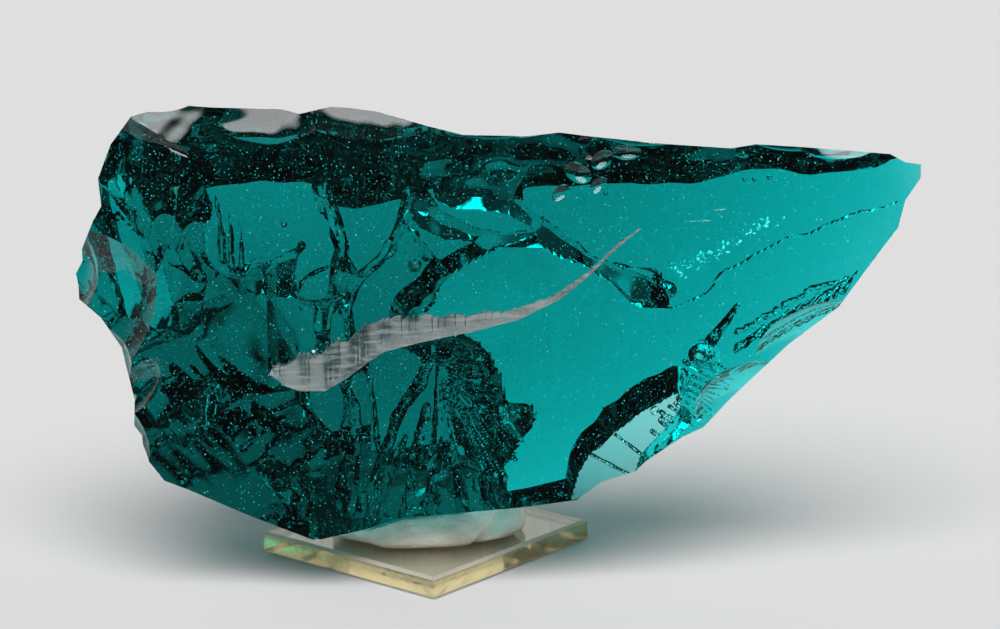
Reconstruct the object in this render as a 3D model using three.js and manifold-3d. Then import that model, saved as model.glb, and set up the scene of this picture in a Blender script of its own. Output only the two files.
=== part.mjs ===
// A broken shard of teal glass, held by a lump of putty on a small clear plate.
// Millimetres, +Z up. The origin is the middle of the plate's underside.
// +X runs along the shard towards its thin end, and its smooth face looks along -Y.
import * as THREE from 'three';
import { mergeVertices } from 'three/addons/utils/BufferGeometryUtils.js';
import Module from 'manifold-3d';

const wasm = await Module();
wasm.setup();

// Plate: a square, turned so that one corner points nearly forward.
const PLATE_SIDE = 38;
const PLATE_THICK = 3.6;
const PLATE_BEVEL = 0.5;
const PLATE_TURN = THREE.MathUtils.degToRad(48.7);

// Putty: a squashed lump between the plate and the shard.
const PUTTY_GAP = 0.3;
const PUTTY_AT = [0.4, -1.5, PLATE_THICK + PUTTY_GAP];
const PUTTY_HALF = [16.2, 12.6];
const PUTTY_TALL = 12;

// Shard: the rim is the outline at y = 0, and the flanks run to a far point in front.
const FLANK_POINT = [12.9, -439.5, 144.8];
const BLANK_FRONT = -34;
const BLANK_BACK = 40;

// Outline of the rim as [x, z], clockwise from the left tip.
const RIM = [
  [-56.5, 46], [-54.5, 49.5], [-54.5, 51.5], [-52.5, 56], [-51, 58.5], [-51.3, 63], [-49, 68.5],
  [-45.5, 73], [-41.5, 74], [-37, 74.6], [-32.5, 74.2], [-21.5, 73.7], [-18.5, 72.9], [-13, 74.1],
  [-6, 73], [2, 70.5], [7.5, 69], [18, 68.6], [23, 69.1], [27, 68.5], [39, 67], [50.5, 66],
  [54.5, 66.6], [62, 66], [76, 64.6], [78.5, 63.2], [81, 62.8], [81, 60.6], [78.6, 57], [77.5, 52.5],
  [74.5, 48.5], [68, 39.5], [60, 33.5], [50.5, 24.5], [46, 19.6], [42.5, 18], [36.5, 14],
  [34.8, 12.3], [29, 10.5], [25, 7.5], [16, 6.4], [5, 5.6], [-4, 5], [-10.5, 3], [-17.5, 1.5],
  [-19, 1.5], [-29.5, 6], [-39, 10.5], [-45, 13], [-46, 14.4], [-46.3, 20], [-47.5, 21.7],
  [-47.2, 26], [-48.9, 35], [-52, 40], [-55.4, 43.2],
];

// Broken faces. `at` is a point on the face and `facing` its outward direction.
// `bow` is the radius it bulges with across and along (negative: hollow).
const FACES = {
  front: { at: [12, -13.5, 42], facing: [0.02, -1, 0.21], bow: [440, 900] },
  back: { at: [0, 30, 38], facing: [0.06, 1, 0], bow: [900, 700] },
  backRight: { at: [62, 13, 50], facing: [0.5, 1, -0.1], bow: [260, 300] },
  backTop: { at: [10, 14, 60], facing: [0.05, 0.82, 0.86], bow: [2000, 300] },
  backLow: { at: [0, 24, 16], facing: [0.02, 0.85, -0.6], bow: [300, 260] },
  backLowLeft: { at: [-23, 30, 27], facing: [-0.6, 0.5, -0.62], bow: [200, 200] },
  frontLow: { at: [4, -21.6, 6.6], facing: [-0.05, -0.75, -0.66], bow: [600, 600] },
  under: { at: [-18, -12, 5.2], facing: [0.13, 0.2, -1], bow: [260, 400] },
  backLeft: { at: [-44, 27, 55], facing: [-0.8, 0.6, -0.12], bow: [160, 200] },
  frontTip: { at: [80, -5, 57], facing: [0.7, -1, -0.3], bow: [500, 500] },
};

// The step across the smooth face: [x, z] along its lip, and how deep the face above it is set
// back, as [x, depth]. It fades out STEP_FADE above the lip, and leans back by STEP_LEAN.
const STEP_LIP = [
  [-23.3, 33.5], [-21.3, 31.9], [-18.9, 31.1], [-15, 31.1], [-11.8, 32.8], [-8.1, 35.5],
  [-5.4, 37.1], [0.2, 38.4], [8.1, 39.8], [16, 41.6], [22.4, 44.5], [27.2, 48.2], [31.3, 52],
  [35.3, 54.9],
];
const STEP_DEPTH = [
  [-60, -0.3], [-24.5, -0.3], [-22.5, 0.9], [-19, 2.2], [-14, 2.6], [-9, 2.4], [-3, 1.9],
  [5, 1.3], [16, 0.7], [27, 0.3], [35, 0.15], [38, -0.3], [90, -0.3],
];
const STEP_FADE = 26;
const STEP_LEAN = 1.7;

// Pans: broad flakes off the back, with a nearly flat floor and steep walls. `outline` is [x, z]
// on the floor, `floor` a broken face, and `wall` the slope of the walls in degrees.
const RIGHT_FLOOR = { at: [30, 8, 41], facing: [0.19, 1, -0.5], bow: [1800, 140] };
const PANS = {
  panA: {
    outline: [
      [-33.5, 76], [-34, 64], [-36, 60], [-33.5, 54], [-35, 49], [-35, 45], [-31.5, 41.5],
      [-29.5, 42.5], [-24, 46], [-20, 48], [-22, 43], [-20.5, 39], [-16, 39], [-13.5, 46],
      [-14, 50], [-16, 53.5], [-17, 58], [-17.5, 66], [-17.5, 76],
    ],
    floor: { at: [-26, 18, 52], facing: [0.1, 1, 0.1], bow: [-60, -60] },
    wall: 58,
  },
  panC: {
    outline: [
      [-14, 55], [-14.5, 66], [-14.5, 76], [0, 76], [-0.5, 66], [-1.5, 56.5], [-2, 53], [-5, 48],
      [-9, 43.5], [-12, 46.5], [-13, 50],
    ],
    floor: { at: [-8, 19.5, 50], facing: [0.05, 1, 0.02], bow: [-60, -60] },
    wall: 58,
  },
  panD: {
    outline: [
      [-26.5, 37.5], [-21, 37.5], [-18.5, 33.5], [-18, 30.5], [-20.5, 26], [-23.5, 31.5],
    ],
    floor: { at: [-22, 23, 33], facing: [0.1, 1, 0.05], bow: [-40, -40] },
    wall: 55,
  },
  panE: {
    outline: [
      [-1.2, 49.1], [-3.4, 46.4], [-9, 41.5], [-12, 38], [-12.3, 33.5], [-11.5, 30.5], [-8, 30.5],
      [-3, 34], [0.5, 39], [4.5, 43], [1, 44.3], [-0.5, 46.5],
    ],
    floor: { at: [-4, 21, 41], facing: [0.12, 1, 0.05], bow: [-60, -60] },
    wall: 58,
  },
  panF: {
    outline: [
      [-16, 33.5], [-14, 35.7], [-12.8, 34], [-12.6, 31.5], [-14, 30], [-15.8, 31],
    ],
    floor: { at: [-14, 23, 34], facing: [0.1, 1, 0], bow: [-40, -40] },
    wall: 55,
  },
  panG: {
    outline: [
      [0, 50.5], [2, 49], [6, 47.8], [12, 48], [11, 46.6], [6, 45], [3, 45.3], [1, 47.5],
    ],
    floor: { at: [5, 18.5, 48], facing: [0.1, 1, 0.1], bow: [-40, -40] },
    wall: 60,
  },
  panH: {
    outline: [
      [3, 62], [3, 55], [8, 53.2], [13, 53], [18.5, 49.8], [12, 50], [8, 51], [4, 53.5], [1, 57],
      [0.5, 62],
    ],
    floor: { at: [10, 16.5, 53], facing: [0.1, 1, 0.1], bow: [-40, -40] },
    wall: 60,
  },
  panI: {
    outline: [
      [5.5, 44], [12, 46.8], [17.5, 48], [24, 46], [30, 43], [34.5, 39.5], [42, 39], [60, 50],
      [110, 60], [110, 10], [60, -22], [15, -22], [14, 9], [13, 15], [16.5, 20], [17.5, 24],
      [13.5, 25], [12.5, 29], [8, 34], [0.5, 36.5], [3, 40],
    ],
    floor: RIGHT_FLOOR,
    wall: 62,
  },
  panJ: {
    outline: [
      [17, 55], [19, 62], [19, 76], [110, 76], [110, 20], [46, 20], [39.5, 41], [37.5, 44.5],
      [33, 44.7], [29, 45.8], [24.5, 48.7], [21, 51.5],
    ],
    floor: RIGHT_FLOOR,
    wall: 62,
  },
  panThin: {
    outline: [
      [24, 14], [25.5, 18], [28, 20.5], [33.5, 25], [39, 28], [41.5, 28.5], [40, 24.5],
      [36, 20.5], [34, 17], [33, 9], [29, 2], [22, 2],
    ],
    floor: { at: [33, -13.6, 21], facing: [0, 1, -0.21], bow: [-400, -400] },
    wall: 78,
  },
  ribA: {
    outline: [
      [-18, 23], [-13.5, 23], [-13.6, 18], [-14.8, 11], [-16, 12], [-17.8, 17],
    ],
    floor: { at: [-16, 24.5, 20], facing: [0, 1, -0.4], bow: [-40, -40] },
    wall: 55,
  },
  ribB: {
    outline: [
      [-11.5, 23], [-9.4, 24], [-8.8, 19], [-8.2, 14.5], [-9, 10], [-10.3, 4], [-11, 9],
      [-11.5, 16],
    ],
    floor: { at: [-10, 24.5, 20], facing: [0, 1, -0.4], bow: [-40, -40] },
    wall: 55,
  },
  ribC: {
    outline: [
      [-8.3, 28], [-7.8, 20], [-6.8, 14], [-4.5, 18], [-2.2, 21], [-0.5, 25], [-1, 29.5],
    ],
    floor: { at: [-4, 25.5, 24], facing: [0, 1, -0.3], bow: [-40, -40] },
    wall: 55,
  },
  ribD: {
    outline: [
      [2.5, 25], [-0.6, 18.5], [-1.5, 13], [-4.5, 6.5], [-9, 3], [-6.5, 8], [-4, 13], [-2.8, 18],
      [0, 24],
    ],
    floor: { at: [-3, 23.5, 16], facing: [0, 1, -0.45], bow: [-40, -40] },
    wall: 55,
  },
};

// Conchoidal flakes struck off the shard. Each leaves a hollow that is part of an egg. A row has the
// place, the direction, the egg's radii (across, along, out), the depth, and the turn in degrees.
const FLAKES = {
  // Front: the deep oval hollow at the thick end, and the chips above it.
  ovalHollow: [[-43.5, -7.5, 58.5], [-0.5, -1, 0.42], [13.5, 19, 17], 5.2, -6],
  ovalLip: [[-46, -7, 47], [-0.55, -1, -0.25], [10, 8, 9], 2.6, 14],
  greyFacet: [[-42, -5.5, 73], [-0.12, -0.85, 0.85], [34, 22, 22], 3.2, 0],
  shellChip: [[-24.5, -6.5, 73.5], [0.06, -0.9, 0.85], [15, 11, 11], 3.4, 12],
  smoothChip: [[-8.5, -5.5, 74.4], [0.05, -0.8, 0.9], [26, 18, 18], 3, -4],
  ridgeChipA: [[6, -7.5, 72], [0.1, -0.7, 0.95], [17, 13, 13], 1.9, -8],
  ridgeChipB: [[18.5, -8, 71.2], [-0.1, -0.8, 0.9], [12, 9, 9], 1.8, 0],
  ridgeChipC: [[27.5, -9.2, 66.5], [0.1, -1, 0.5], [6.5, 9, 8], 1.9, 20],
  ridgeChipD: [[41, -8, 69], [0, -0.8, 0.9], [20, 12, 12], 1.9, -3],
  ridgeChipE: [[55, -6.5, 68], [0.1, -0.75, 0.95], [16, 11, 11], 1.7, 4],
  ridgeChipF: [[69, -4.5, 66], [0.1, -0.85, 0.85], [18, 12, 12], 1.7, -3],
  tipNotch: [[81, -1, 58], [1, -0.5, -0.1], [6, 5, 5], 1, 0],
  // Top: long hollows behind the ridge.
  topHollowA: [[-38, 2, 74.6], [-0.1, 0.25, 1], [17, 11, 18], 1.8, 8],
  topHollowB: [[-14, 2, 74.2], [0.06, 0.2, 1], [22, 12, 20], 1.7, -6],
  topHollowC: [[12, 1, 69.4], [0.05, 0.2, 1], [19, 11, 18], 1.5, 5],
  topHollowD: [[36, 1, 67.6], [0.05, 0.2, 1], [20, 10, 18], 1.3, -4],
  topHollowE: [[60, 1, 66.2], [0.05, 0.3, 1], [17, 8, 16], 1.1, -8],
  // Left edge: small flakes, the lowest with a glassy step above it.
  leftFlakeA: [[-52, -2.5, 62], [-1, -0.25, 0.1], [8, 9, 8], 1.4, 0],
  leftFlakeB: [[-53.5, -4, 53], [-1, -0.4, 0.2], [7, 7, 7], 1.2, 0],
  leftFlakeC: [[-49, -9, 36], [-0.9, -0.6, -0.1], [9, 12, 11], 1.9, 0],
  leftLedge: [[-44.5, -13, 30.6], [-0.55, -0.6, 0.7], [6, 4, 4], 1.6, 20],
  leftFlakeD: [[-46, -13.5, 23], [-0.85, -0.8, 0], [9, 12, 10], 1.4, 6],
  // Bottom edge: a long shallow bite beside the putty.
  lowBiteA: [[-33, -14.5, 8.6], [-0.3, -0.5, -0.85], [30, 16, 20], 1.2, 22],
  // Lower right edge: the struck point and the hollows beyond it.
  struckPoint: [[46, 1, 34.6], [0.2, 1, -0.2], [4, 3.4, 8], 7, 0],
  edgeHollowB: [[50, -12.6, 29.8], [0.5, -1, -0.45], [12, 7, 10], 2.2, 40],
  edgeHollowC: [[61, -10, 38.8], [0.45, -1, -0.4], [17, 8, 12], 1.8, 38],
};

const COLOURS = { glass: 0x0b8a86, putty: 0xd9d5cb, plate: 0xe4dcae };
const UP = new THREE.Vector3(0, 0, 1);

// A closed three.js geometry as a solid that can be cut.
function solidOf(geometry) {
  const bare = geometry.index ? geometry.clone() : geometry;
  bare.deleteAttribute('normal');
  bare.deleteAttribute('uv');
  const merged = mergeVertices(bare, 1e-5);
  const mesh = new wasm.Mesh({
    numProp: 3,
    vertProperties: new Float32Array(merged.attributes.position.array),
    triVerts: new Uint32Array(merged.index.array),
  });
  return new wasm.Manifold(mesh);
}

// The surface of a cut solid as a three.js geometry.
function geometryOf(solid) {
  const mesh = solid.getMesh();
  const geometry = new THREE.BufferGeometry();
  geometry.setAttribute('position', new THREE.BufferAttribute(new Float32Array(mesh.vertProperties), 3));
  geometry.setIndex(new THREE.BufferAttribute(new Uint32Array(mesh.triVerts), 1));
  geometry.computeVertexNormals();
  return geometry;
}

// Turns a shape made around +Z so that it looks along `facing`, and carries it to `at`.
function aim(geometry, at, facing, turn = 0) {
  const direction = new THREE.Vector3(...facing).normalize();
  geometry.rotateZ(THREE.MathUtils.degToRad(turn));
  geometry.applyQuaternion(new THREE.Quaternion().setFromUnitVectors(UP, direction));
  geometry.translate(...at);
  return geometry;
}

// The uncut shard: the rim's outline, drawn out towards the far point that its flanks run to.
function blank() {
  const shape = new THREE.Shape(RIM.map(([x, z]) => new THREE.Vector2(x, z)));
  const depth = BLANK_BACK - BLANK_FRONT;
  const geometry = new THREE.ExtrudeGeometry(shape, { depth, bevelEnabled: false });
  geometry.rotateX(Math.PI / 2);
  geometry.translate(0, BLANK_BACK, 0);
  const [farX, farY, farZ] = FLANK_POINT;
  const position = geometry.attributes.position;
  for (let i = 0; i < position.count; i += 1) {
    const scale = (position.getY(i) - farY) / -farY;
    position.setX(i, farX + (position.getX(i) - farX) * scale);
    position.setZ(i, farZ + (position.getZ(i) - farZ) * scale);
  }
  return solidOf(geometry);
}

// All that lies outside a broken face: a block whose near side bulges or is hollow.
function outside({ at, facing, bow }) {
  const size = 200;
  const depth = 70;
  const cells = 14;
  const block = new THREE.BoxGeometry(size, size, depth, cells, cells, 1);
  block.translate(0, 0, depth / 2);
  const position = block.attributes.position;
  for (let i = 0; i < position.count; i += 1) {
    if (position.getZ(i) < depth / 2) {
      const fall = position.getX(i) ** 2 / (2 * bow[0]) + position.getY(i) ** 2 / (2 * bow[1]);
      position.setZ(i, -fall);
    }
  }
  return solidOf(aim(block, at, facing));
}

// The egg that a flake's hollow is part of.
function flake([at, facing, radii, depth, turn]) {
  const detail = Math.round(4 + Math.max(...radii) / 6);
  const egg = new THREE.IcosahedronGeometry(1, detail);
  egg.scale(...radii);
  egg.translate(0, 0, radii[2] - depth);
  return solidOf(aim(egg, at, facing, turn));
}

// The value at x of a line through [x, value] points.
function along(line, x) {
  if (x <= line[0][0]) {
    return line[0][1];
  }
  const next = line.findIndex(([at]) => at >= x);
  if (next < 0) {
    return line.at(-1)[1];
  }
  const [[x0, v0], [x1, v1]] = [line[next - 1], line[next]];
  return v0 + ((v1 - v0) * (x - x0)) / (x1 - x0);
}

// Where the smooth front face lies, before any flake.
function frontDepth(x, z) {
  const { at, facing, bow } = FACES.front;
  const across = x - at[0];
  const up = z - at[2];
  return at[1] + facing[0] * across + facing[2] * up + across ** 2 / (2 * bow[0]) + up ** 2 / (2 * bow[1]);
}

// What the step takes off: all in front of the set-back face, from the lip up to where it fades.
function aboveStep() {
  const margin = 3;
  const ahead = 12;
  const clear = 0.05;
  const left = STEP_LIP[0][0] - margin;
  const right = STEP_LIP.at(-1)[0] + margin;
  const columns = 36;
  const rows = 8;
  const block = new THREE.BoxGeometry(1, 1, 1, columns, 1, rows);
  const position = block.attributes.position;
  for (let i = 0; i < position.count; i += 1) {
    const x = left + (right - left) * (position.getX(i) + 0.5);
    const climb = STEP_FADE * (position.getZ(i) + 0.5) ** 2;
    const setBack = along(STEP_DEPTH, x);
    const ramp = Math.min(climb / STEP_LEAN, setBack);
    const fade = 1 - (climb / STEP_FADE) ** 2;
    const z = along(STEP_LIP, x) + climb;
    const near = frontDepth(x, z) + ramp * fade - clear;
    position.setXYZ(i, x, position.getY(i) > 0 ? near : near - ahead, z);
  }
  return solidOf(block);
}

// A pan-shaped cutter: its floor is a broken face, and its walls lean outwards.
function pan({ outline, floor, wall }) {
  const reach = 34;
  const spread = reach / Math.tan(THREE.MathUtils.degToRad(wall));
  const loop = outline.map(([x, z]) => new THREE.Vector2(x, z));
  const way = THREE.ShapeUtils.isClockWise(loop) ? -1 : 1;
  const outwards = loop.map((point, i) => {
    const before = loop.at(i - 1);
    const after = loop[(i + 1) % loop.length];
    return new THREE.Vector2(after.y - before.y, before.x - after.x).normalize().multiplyScalar(way);
  });
  const below = 6;
  const prism = new THREE.ExtrudeGeometry(new THREE.Shape(loop), { depth: 1, bevelEnabled: false });
  const position = prism.attributes.position;
  for (let i = 0; i < position.count; i += 1) {
    const place = new THREE.Vector2(position.getX(i), position.getY(i));
    const corner = loop.findIndex((point) => point.distanceTo(place) < 1e-3);
    const behind = position.getZ(i) < 0.5 ? reach : -below;
    place.addScaledVector(outwards[corner], (spread * behind) / reach);
    position.setXYZ(i, place.x, place.y, -behind);
  }
  prism.rotateX(Math.PI / 2);
  prism.translate(0, floor.at[1], 0);
  return outside(floor).intersect(solidOf(prism));
}

// The largest of the pieces that a solid falls into: slivers cut loose are left out.
function largest(solid) {
  const pieces = solid.decompose();
  return pieces.reduce((best, piece) => (piece.volume() > best.volume() ? piece : best));
}

function shard() {
  let solid = blank();
  for (const face of Object.values(FACES)) {
    solid = solid.subtract(outside(face));
  }
  solid = solid.subtract(aboveStep());
  for (const hollow of Object.values(PANS)) {
    solid = solid.subtract(pan(hollow));
  }
  for (const hollow of Object.values(FLAKES)) {
    solid = solid.subtract(flake(hollow));
  }
  return largest(solid);
}

// The putty: a squashed, slightly lumpy mound, flat on the plate and pressed in by the shard.
function puttyLump(glass) {
  const detail = 9;
  const lump = new THREE.IcosahedronGeometry(1, detail);
  const position = lump.attributes.position;
  for (let i = 0; i < position.count; i += 1) {
    const x = position.getX(i);
    const y = position.getY(i);
    const z = position.getZ(i);
    const wobble = 1 + 0.035 * Math.sin(5 * x + 2 * z) * Math.cos(4 * y - 1.5 * x);
    position.setXYZ(i, x * PUTTY_HALF[0] * wobble, y * PUTTY_HALF[1] * wobble, z * PUTTY_TALL);
  }
  lump.translate(...PUTTY_AT);
  const belowTall = 40;
  const below = new THREE.BoxGeometry(80, 80, belowTall);
  below.translate(0, 0, PUTTY_AT[2] - belowTall / 2);
  let solid = solidOf(lump).subtract(solidOf(below));
  const shifts = [[0, 0, -1], [1, 0, 0], [-1, 0, 0], [0, 1, 0], [0, -1, 0]];
  for (const [x, y, z] of shifts) {
    solid = solid.subtract(glass.translate([x * PUTTY_GAP, y * PUTTY_GAP, z * PUTTY_GAP]));
  }
  return solid;
}

// The plate: a thin square with its edges bevelled top and bottom.
function plate() {
  const half = PLATE_SIDE / 2 - PLATE_BEVEL;
  const square = new THREE.Shape([
    new THREE.Vector2(-half, -half),
    new THREE.Vector2(half, -half),
    new THREE.Vector2(half, half),
    new THREE.Vector2(-half, half),
  ]);
  const geometry = new THREE.ExtrudeGeometry(square, {
    depth: PLATE_THICK - 2 * PLATE_BEVEL,
    bevelThickness: PLATE_BEVEL,
    bevelSize: PLATE_BEVEL,
    bevelSegments: 1,
  });
  geometry.translate(0, 0, PLATE_BEVEL);
  geometry.rotateZ(PLATE_TURN);
  return geometry;
}

const MATERIALS = {
  glass: new THREE.MeshStandardMaterial({ color: COLOURS.glass, roughness: 0.03, metalness: 0 }),
  putty: new THREE.MeshStandardMaterial({ color: COLOURS.putty, roughness: 0.75, metalness: 0 }),
  plate: new THREE.MeshStandardMaterial({ color: COLOURS.plate, roughness: 0.08, metalness: 0 }),
};

function named(name, geometry, material) {
  const mesh = new THREE.Mesh(geometry, material);
  mesh.name = name;
  return mesh;
}

const glass = shard();
const andara = new THREE.Group();
andara.add(named('andara_glass', geometryOf(glass), MATERIALS.glass));
andara.add(named('putty', geometryOf(puttyLump(glass)), MATERIALS.putty));
andara.add(named('base', plate(), MATERIALS.plate));

export default andara;
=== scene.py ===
import math

import bmesh
import bpy
import numpy as np
from mathutils import Matrix, Vector
from mathutils.bvhtree import BVHTree


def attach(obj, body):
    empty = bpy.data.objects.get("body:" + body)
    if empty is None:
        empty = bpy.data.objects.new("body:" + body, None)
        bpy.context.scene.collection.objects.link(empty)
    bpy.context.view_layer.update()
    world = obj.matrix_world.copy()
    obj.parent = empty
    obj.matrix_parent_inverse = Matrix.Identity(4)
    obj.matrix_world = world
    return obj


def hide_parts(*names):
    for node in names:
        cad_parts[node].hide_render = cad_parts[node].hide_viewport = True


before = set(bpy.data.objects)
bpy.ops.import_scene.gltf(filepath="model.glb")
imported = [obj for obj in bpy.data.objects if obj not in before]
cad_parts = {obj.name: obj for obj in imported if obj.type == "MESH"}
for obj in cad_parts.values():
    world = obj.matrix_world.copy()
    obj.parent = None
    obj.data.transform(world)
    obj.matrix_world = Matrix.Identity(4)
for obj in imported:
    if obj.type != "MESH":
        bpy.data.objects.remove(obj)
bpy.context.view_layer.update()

MM = 0.001
rng = np.random.default_rng(7)

# The shard, in millimetres. Its main forms are those of its solid.
# The flanks run to this far point in front, and the blank reaches from front to back.
FLANK_POINT = np.array([12.9, -439.5, 144.8])
BLANK_FRONT = -34
BLANK_BACK = 40

# Outline of the rim as (x, z) at y = 0, clockwise from the left tip.
RIM = [
    (-56.5, 46), (-54.5, 49.5), (-54.5, 51.5), (-52.5, 56), (-51, 58.5), (-51.3, 63), (-49, 68.5),
    (-45.5, 73), (-41.5, 74), (-37, 74.6), (-32.5, 74.2), (-21.5, 73.7), (-18.5, 72.9), (-13, 74.1),
    (-6, 73), (2, 70.5), (7.5, 69), (18, 68.6), (23, 69.1), (27, 68.5), (39, 67), (50.5, 66),
    (54.5, 66.6), (62, 66), (76, 64.6), (78.5, 63.2), (81, 62.8), (81, 60.6), (78.6, 57), (77.5, 52.5),
    (74.5, 48.5), (68, 39.5), (60, 33.5), (50.5, 24.5), (46, 19.6), (42.5, 18), (36.5, 14),
    (34.8, 12.3), (29, 10.5), (25, 7.5), (16, 6.4), (5, 5.6), (-4, 5), (-10.5, 3), (-17.5, 1.5),
    (-19, 1.5), (-29.5, 6), (-39, 10.5), (-45, 13), (-46, 14.4), (-46.3, 20), (-47.5, 21.7),
    (-47.2, 26), (-48.9, 35), (-52, 40), (-55.4, 43.2),
]

# Broken faces: a point on the face, its outward direction, and the radii that it bulges with.
FACES = {
    "front": ((12, -13.5, 42), (0.02, -1, 0.21), (440, 900)),
    "back": ((0, 30, 38), (0.06, 1, 0), (900, 700)),
    "back_right": ((62, 13, 50), (0.5, 1, -0.1), (260, 300)),
    "back_top": ((10, 14, 60), (0.05, 0.82, 0.86), (2000, 300)),
    "back_low": ((0, 24, 16), (0.02, 0.85, -0.6), (300, 260)),
    "back_low_left": ((-23, 30, 27), (-0.6, 0.5, -0.62), (200, 200)),
    "front_low": ((4, -21.6, 6.6), (-0.05, -0.75, -0.66), (600, 600)),
    "under": ((-18, -12, 5.2), (0.13, 0.2, -1), (260, 400)),
    "back_left": ((-44, 27, 55), (-0.8, 0.6, -0.12), (160, 200)),
    "front_tip": ((80, -5, 57), (0.7, -1, -0.3), (500, 500)),
}
# How far each face swells, in millimetres, the span and spacing of its points, and how thick the
# block is that cuts it.
FACE_RELIEF = {"front": 0.03, "back_top": 0.6}
OTHER_RELIEF = 0.15
FACE_SPAN = 190
FACE_CELL = 1.6
FACE_BLOCK = 70

# The step across the smooth face: (x, z) along its lip, and how deep the face above it is set
# back, as (x, depth). It fades out again STEP_FADE above the lip, and leans back by STEP_LEAN.
STEP_LIP = [
    (-23.3, 33.5), (-21.3, 31.9), (-18.9, 31.1), (-15, 31.1), (-11.8, 32.8), (-8.1, 35.5),
    (-5.4, 37.1), (0.2, 38.4), (8.1, 39.8), (16, 41.6), (22.4, 44.5), (27.2, 48.2), (31.3, 52),
    (35.3, 54.9),
]
STEP_DEPTH = [
    (-60, -0.3), (-24.5, -0.3), (-22.5, 0.9), (-19, 2.2), (-14, 2.6), (-9, 2.4), (-3, 1.9),
    (5, 1.3), (16, 0.7), (27, 0.3), (35, 0.15), (38, -0.3), (90, -0.3),
]
STEP_FADE = 36
STEP_LEAN = 2.2
# A face of the step's slope looks up by more than this, as its rise over its run, or sideways
# by more than SIDEWAYS.
STEEPER = 0.3
SIDEWAYS = 0.2
# The width of a tooth of its ragged upper edge.
TOOTH = 1.5
# How far the step's cutter reaches past the lip's ends, and in front of the face.
STEP_MARGIN = 3
STEP_AHEAD = 12

# Pans: broad flakes off the back, with a nearly flat floor and steep walls. Each has its
# outline as (x, z) on the floor, the floor's face, and the slope of its walls in degrees.
RIGHT_FLOOR = ((30, 8, 41), (0.19, 1, -0.5), (1800, 140))
UPPER_RIGHT_FLOOR = ((30, 8.25, 41), (0.19, 1, -0.5), (1800, 140))
PANS = {
    "pan_a": (
        [(-33.5, 76), (-34, 64), (-36, 60), (-33.5, 54), (-35, 49), (-35, 45), (-31.5, 41.5),
         (-29.5, 42.5), (-24, 46), (-20, 48), (-22, 43), (-20.5, 39), (-16, 39), (-13.5, 46),
         (-14, 50), (-16, 53.5), (-17, 58), (-17.5, 66), (-17.5, 76)],
        ((-26, 18, 52), (0.1, 1, 0.1), (-60, -60)), 58,
    ),
    "pan_c": (
        [(-14, 55), (-14.5, 66), (-14.5, 76), (0, 76), (-0.5, 66), (-1.5, 56.5), (-2, 53),
         (-5, 48), (-9, 43.5), (-12, 46.5), (-13, 50)],
        ((-8, 19.5, 50), (0.05, 1, 0.02), (-60, -60)), 58,
    ),
    "pan_d": (
        [(-26.5, 37.5), (-21, 37.5), (-18.5, 33.5), (-18, 30.5), (-20.5, 26), (-23.5, 31.5)],
        ((-22, 23, 33), (0.1, 1, 0.05), (-40, -40)), 55,
    ),
    "pan_e": (
        [(-1.2, 49.1), (-3.4, 46.4), (-9, 41.5), (-12, 38), (-12.3, 33.5), (-11.5, 30.5), (-8, 30.5),
         (-3, 34), (0.5, 39), (4.5, 43), (1, 44.3), (-0.5, 46.5)],
        ((-4, 21, 41), (0.12, 1, 0.05), (-60, -60)), 58,
    ),
    "pan_f": (
        [(-16, 33.5), (-14, 35.7), (-12.8, 34), (-12.6, 31.5), (-14, 30), (-15.8, 31)],
        ((-14, 23, 34), (0.1, 1, 0), (-40, -40)), 55,
    ),
    "pan_g": (
        [(0, 50.5), (2, 49), (6, 47.8), (12, 48), (11, 46.6), (6, 45), (3, 45.3), (1, 47.5)],
        ((5, 18.5, 48), (0.1, 1, 0.1), (-40, -40)), 60,
    ),
    "pan_h": (
        [(3, 62), (3, 55), (8, 53.2), (13, 53), (18.5, 49.8), (12, 50), (8, 51), (4, 53.5), (1, 57),
         (0.5, 62)],
        ((10, 16.5, 53), (0.1, 1, -0.1), (-40, -40)), 60,
    ),
    "pan_i": (
        [(5.5, 44), (12, 46.8), (17.5, 48), (24, 46), (30, 43), (34.5, 39.5), (42, 39), (60, 50),
         (110, 60), (110, 10), (60, -22), (15, -22), (14, 9), (13, 15), (16.5, 20), (17.5, 24), (13.5, 25),
         (12.5, 29), (8, 34), (0.5, 36.5), (3, 40)],
        RIGHT_FLOOR, 62,
    ),
    "pan_j": (
        [(17, 55), (19, 62), (19, 76), (110, 76), (110, 20), (46, 20), (39.5, 41), (37.5, 44.5),
         (33, 44.7), (29, 45.8), (24.5, 48.7), (21, 51.5)],
        UPPER_RIGHT_FLOOR, 62,
    ),
    "pan_thin": (
        [(24, 14), (25.5, 18), (28, 20.5), (33.5, 25), (39, 28), (41.5, 28.5), (40, 24.5), (36, 20.5),
         (34, 17), (33, 9), (29, 2), (22, 2)],
        ((33, -13.6, 21), (0, 1, -0.21), (-400, -400)), 82,
    ),
    "rib_a": (
        [(-18, 23), (-13.5, 23), (-13.6, 18), (-14.8, 11), (-16, 12), (-17.8, 17)],
        ((-16, 24.5, 20), (0, 1, -0.4), (-40, -40)), 55,
    ),
    "rib_b": (
        [(-11.5, 23), (-9.4, 24), (-8.8, 19), (-8.2, 14.5), (-9, 10), (-10.3, 4), (-11, 9), (-11.5, 16)],
        ((-10, 24.5, 20), (0, 1, -0.4), (-40, -40)), 55,
    ),
    "rib_c": (
        [(-8.3, 28), (-7.8, 20), (-6.8, 14), (-4.5, 18), (-2.2, 21), (-0.5, 25), (-1, 29.5)],
        ((-4, 25.5, 24), (0, 1, -0.3), (-40, -40)), 55,
    ),
    "rib_d": (
        [(2.5, 25), (-0.6, 18.5), (-1.5, 13), (-4.5, 6.5), (-9, 3), (-6.5, 8), (-4, 13), (-2.8, 18),
         (0, 24)],
        ((-3, 23.5, 16), (0, 1, -0.45), (-40, -40)), 55,
    ),
}
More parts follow.
